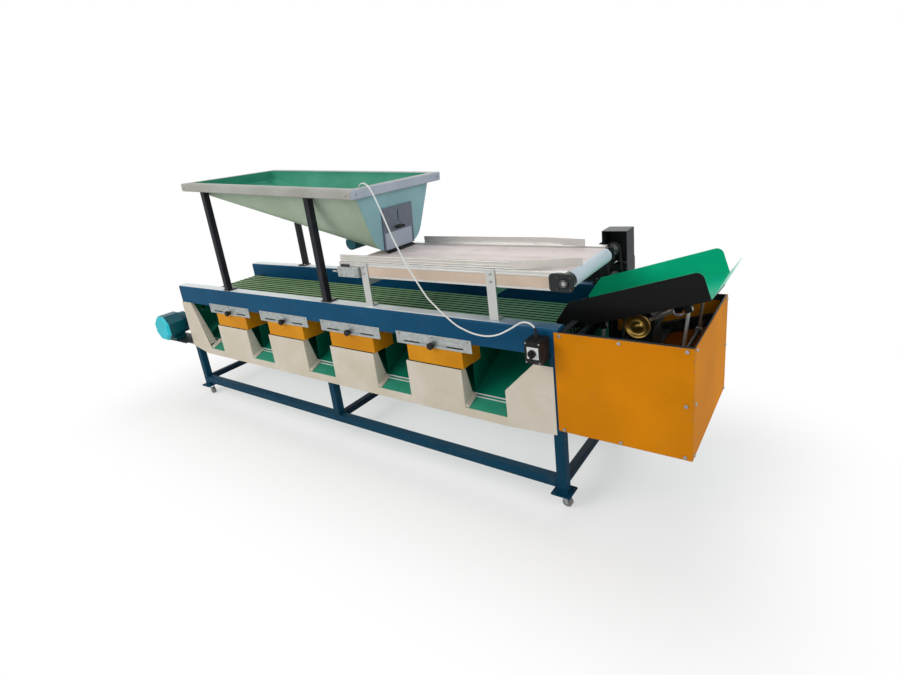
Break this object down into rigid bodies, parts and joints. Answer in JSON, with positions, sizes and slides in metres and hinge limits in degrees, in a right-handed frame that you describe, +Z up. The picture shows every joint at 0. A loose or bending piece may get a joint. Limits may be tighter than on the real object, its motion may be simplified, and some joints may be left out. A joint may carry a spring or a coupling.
{
  "type": "fruit grading machine",
  "caption": "Fruit grading machine on castors: tilted feed hopper, feed conveyor, spreading grading belts, outlets with shiftable dividers, shaker trough and drive box.",
  "frame": {"origin": "on the floor, under the middle of the bounding box, with the cable left out", "axes": "+X along the rails towards the drive box, +Y from the outlets towards the back, +Z up"},
  "size_m": [4.1306, 0.905, 1.703],
  "materials": {
    "blue_paint": "gloss",
    "navy_paint": "satin",
    "cream_paint": "satin",
    "yellow_paint": "gloss",
    "teal_paint": "gloss",
    "dark_paint": "satin",
    "light_green_paint": "satin",
    "dark_green_paint": "satin",
    "trough_paint": "gloss",
    "hopper_paint": "satin",
    "rim_paint": "satin",
    "green_belt": "matte",
    "white_belt": "matte",
    "aluminium": "satin",
    "steel": "satin",
    "galvanised": "matte",
    "wheel_plastic": "matte",
    "black_plastic": "satin",
    "black_rubber": "matte",
    "white_plastic": "satin"
  },
  "bodies": {
    "machine": {"rails": "blue_paint", "legs": "blue_paint", "lower_rails": "blue_paint", "cross_bars": "blue_paint", "roller_bearings": "dark_paint", "grading_belts": "green_belt", "chute_board": "dark_green_paint", "outlet_floor": "light_green_paint", "front_panel": "cream_paint", "slotted_plates": "galvanised", "panel_screws": "steel", "motor_bracket": "dark_paint", "bed_gearmotor": "teal_paint", "drive_chains": "steel", "hopper_shell": "hopper_paint", "hopper_rim": "rim_paint", "hopper_legs": "navy_paint", "gate_guide": "rim_paint", "outlet_flap": "black_rubber", "conveyor_frame": "aluminium", "conveyor_belt": "white_belt", "conveyor_posts": "aluminium", "small_motors": "teal_paint", "drive_guard": "dark_paint", "box_frame": "dark_paint", "box_panels": "yellow_paint", "switch_box": "black_plastic", "mains_cable": "white_plastic", "cable_coil": "white_plastic", "mains_plug": "white_plastic"},
    "bed_drive_roller": {"bed_drive_roller": "steel"},
    "bed_idler_roller": {"bed_idler_roller": "steel"},
    "bed_motor_sprocket": {"bed_motor_sprocket": "steel"},
    "conveyor_drive_roller": {"conveyor_drive_roller": "steel"},
    "conveyor_tail_roller": {"conveyor_tail_roller": "steel"},
    "conveyor_motor_sprocket": {"conveyor_motor_sprocket": "steel"},
    "shaker_eccentric": {"shaker_eccentric": "steel"},
    "shaker_rod": {"shaker_rod": "steel"},
    "trough": {"trough": "trough_paint"},
    "rocker_left": {"rocker_left": "galvanised"},
    "rocker_right": {"rocker_right": "galvanised"},
    "divider_1": {"divider_1": "yellow_paint"},
    "divider_2": {"divider_2": "yellow_paint"},
    "divider_3": {"divider_3": "yellow_paint"},
    "divider_4": {"divider_4": "yellow_paint"},
    "divider_knob_1": {"divider_knob_1": "black_plastic"},
    "divider_knob_2": {"divider_knob_2": "black_plastic"},
    "divider_knob_3": {"divider_knob_3": "black_plastic"},
    "divider_knob_4": {"divider_knob_4": "black_plastic"},
    "hopper_gate": {"hopper_gate": "rim_paint"},
    "gate_knob": {"gate_knob": "black_plastic"},
    "castor_fork_1": {"castor_fork_1": "galvanised"},
    "castor_fork_2": {"castor_fork_2": "galvanised"},
    "castor_fork_3": {"castor_fork_3": "galvanised"},
    "castor_fork_4": {"castor_fork_4": "galvanised"},
    "castor_wheel_1": {"castor_wheel_1": "wheel_plastic"},
    "castor_wheel_2": {"castor_wheel_2": "wheel_plastic"},
    "castor_wheel_3": {"castor_wheel_3": "wheel_plastic"},
    "castor_wheel_4": {"castor_wheel_4": "wheel_plastic"},
    "switch_knob": {"switch_knob": "black_plastic"}
  },
  "joints": [
    {"name": "castor_swivel_1", "type": "hinge", "parent": "machine", "child": "castor_fork_1", "pos_m": [-1.71031, -0.3075, 0.075], "axis": [0, 0, 1], "continuous": true},
    {"name": "castor_roll_1", "type": "hinge", "parent": "castor_fork_1", "child": "castor_wheel_1", "pos_m": [-1.69331, -0.3075, 0.025], "axis": [0, 1, 0], "continuous": true},
    {"name": "castor_swivel_2", "type": "hinge", "parent": "machine", "child": "castor_fork_2", "pos_m": [1.41969, -0.3075, 0.075], "axis": [0, 0, 1], "continuous": true},
    {"name": "castor_roll_2", "type": "hinge", "parent": "castor_fork_2", "child": "castor_wheel_2", "pos_m": [1.43669, -0.3075, 0.025], "axis": [0, 1, 0], "continuous": true},
    {"name": "castor_swivel_3", "type": "hinge", "parent": "machine", "child": "castor_fork_3", "pos_m": [-1.71031, 0.4025, 0.075], "axis": [0, 0, 1], "continuous": true},
    {"name": "castor_roll_3", "type": "hinge", "parent": "castor_fork_3", "child": "castor_wheel_3", "pos_m": [-1.69331, 0.4025, 0.025], "axis": [0, 1, 0], "continuous": true},
    {"name": "castor_swivel_4", "type": "hinge", "parent": "machine", "child": "castor_fork_4", "pos_m": [1.41969, 0.4025, 0.075], "axis": [0, 0, 1], "continuous": true},
    {"name": "castor_roll_4", "type": "hinge", "parent": "castor_fork_4", "child": "castor_wheel_4", "pos_m": [1.43669, 0.4025, 0.025], "axis": [0, 1, 0], "continuous": true},
    {"name": "bed_drive_turn", "type": "hinge", "parent": "machine", "child": "bed_drive_roller", "pos_m": [-1.63531, 0.0475, 0.8034], "axis": [0, 1, 0], "continuous": true},
    {"name": "bed_idler_turn", "type": "hinge", "parent": "machine", "child": "bed_idler_roller", "pos_m": [1.34469, 0.0475, 0.8034], "axis": [0, 1, 0], "continuous": true},
    {"name": "bed_motor_turn", "type": "hinge", "parent": "machine", "child": "bed_motor_sprocket", "pos_m": [-1.96531, -0.2145, 0.59], "axis": [0, 1, 0], "continuous": true},
    {"name": "conveyor_drive_turn", "type": "hinge", "parent": "machine", "child": "conveyor_drive_roller", "pos_m": [1.47969, 0.0475, 1.1446], "axis": [0, 1, 0], "continuous": true},
    {"name": "conveyor_tail_turn", "type": "hinge", "parent": "machine", "child": "conveyor_tail_roller", "pos_m": [0.15969, 0.0475, 1.1446], "axis": [0, 1, 0], "continuous": true},
    {"name": "conveyor_motor_turn", "type": "hinge", "parent": "machine", "child": "conveyor_motor_sprocket", "pos_m": [1.48969, 0.3065, 1.003], "axis": [0, 1, 0], "continuous": true},
    {"name": "shaker_turn", "type": "hinge", "parent": "machine", "child": "shaker_eccentric", "pos_m": [1.69469, -0.0025, 0.87], "axis": [0, 1, 0], "continuous": true},
    {"name": "shaker_rod_turn", "type": "hinge", "parent": "shaker_eccentric", "child": "shaker_rod", "pos_m": [1.69469, -0.0025, 0.876], "axis": [0, 1, 0], "continuous": true},
    {"name": "trough_shake", "type": "slide", "parent": "machine", "child": "trough", "axis": [0.9948, 0, -0.1018], "range_m": [-0.006, 0.006]},
    {"name": "rocker_left_swing", "type": "hinge", "parent": "machine", "child": "rocker_left", "pos_m": [1.55097, 0.0475, 0.67775], "axis": [0, 1, 0], "range_deg": [-2, 2]},
    {"name": "rocker_right_swing", "type": "hinge", "parent": "machine", "child": "rocker_right", "pos_m": [1.90701, 0.0475, 0.78864], "axis": [0, 1, 0], "range_deg": [-2, 2]},
    {"name": "divider_shift_1", "type": "slide", "parent": "machine", "child": "divider_1", "axis": [1, 0, 0], "range_m": [-0.08, 0.08]},
    {"name": "divider_clamp_1", "type": "hinge", "parent": "divider_1", "child": "divider_knob_1", "pos_m": [-1.10681, -0.3325, 0.772], "axis": [0, -1, 0], "range_deg": [0, 360]},
    {"name": "divider_shift_2", "type": "slide", "parent": "machine", "child": "divider_2", "axis": [1, 0, 0], "range_m": [-0.08, 0.08]},
    {"name": "divider_clamp_2", "type": "hinge", "parent": "divider_2", "child": "divider_knob_2", "pos_m": [-0.49181, -0.3325, 0.772], "axis": [0, -1, 0], "range_deg": [0, 360]},
    {"name": "divider_shift_3", "type": "slide", "parent": "machine", "child": "divider_3", "axis": [1, 0, 0], "range_m": [-0.08, 0.08]},
    {"name": "divider_clamp_3", "type": "hinge", "parent": "divider_3", "child": "divider_knob_3", "pos_m": [0.12319, -0.3325, 0.772], "axis": [0, -1, 0], "range_deg": [0, 360]},
    {"name": "divider_shift_4", "type": "slide", "parent": "machine", "child": "divider_4", "axis": [1, 0, 0], "range_m": [-0.08, 0.08]},
    {"name": "divider_clamp_4", "type": "hinge", "parent": "divider_4", "child": "divider_knob_4", "pos_m": [0.73819, -0.3325, 0.772], "axis": [0, -1, 0], "range_deg": [0, 360]},
    {"name": "gate_lift", "type": "slide", "parent": "machine", "child": "hopper_gate", "axis": [0.0711, 0, 0.9975], "range_m": [0, 0.09]},
    {"name": "gate_clamp", "type": "hinge", "parent": "hopper_gate", "child": "gate_knob", "pos_m": [0.29072, 0.0475, 1.32331], "axis": [0.9975, 0, -0.0711], "range_deg": [0, 180]},
    {"name": "switch_turn", "type": "hinge", "parent": "machine", "child": "switch_knob", "pos_m": [1.36469, -0.4225, 0.85145], "axis": [0, -1, 0], "range_deg": [0, 90]}
  ],
  "couplings": [
    {"joint": "bed_idler_turn", "follows": "bed_drive_turn", "ratio": 1},
    {"joint": "bed_motor_turn", "follows": "bed_drive_turn", "ratio": 1},
    {"joint": "conveyor_tail_turn", "follows": "conveyor_drive_turn", "ratio": 1},
    {"joint": "conveyor_motor_turn", "follows": "conveyor_drive_turn", "ratio": 1},
    {"joint": "shaker_rod_turn", "follows": "shaker_turn", "ratio": -1},
    {"joint": "rocker_left_swing", "follows": "trough_shake", "rad_per_m": 4.627},
    {"joint": "rocker_right_swing", "follows": "trough_shake", "rad_per_m": 4.627}
  ]
}
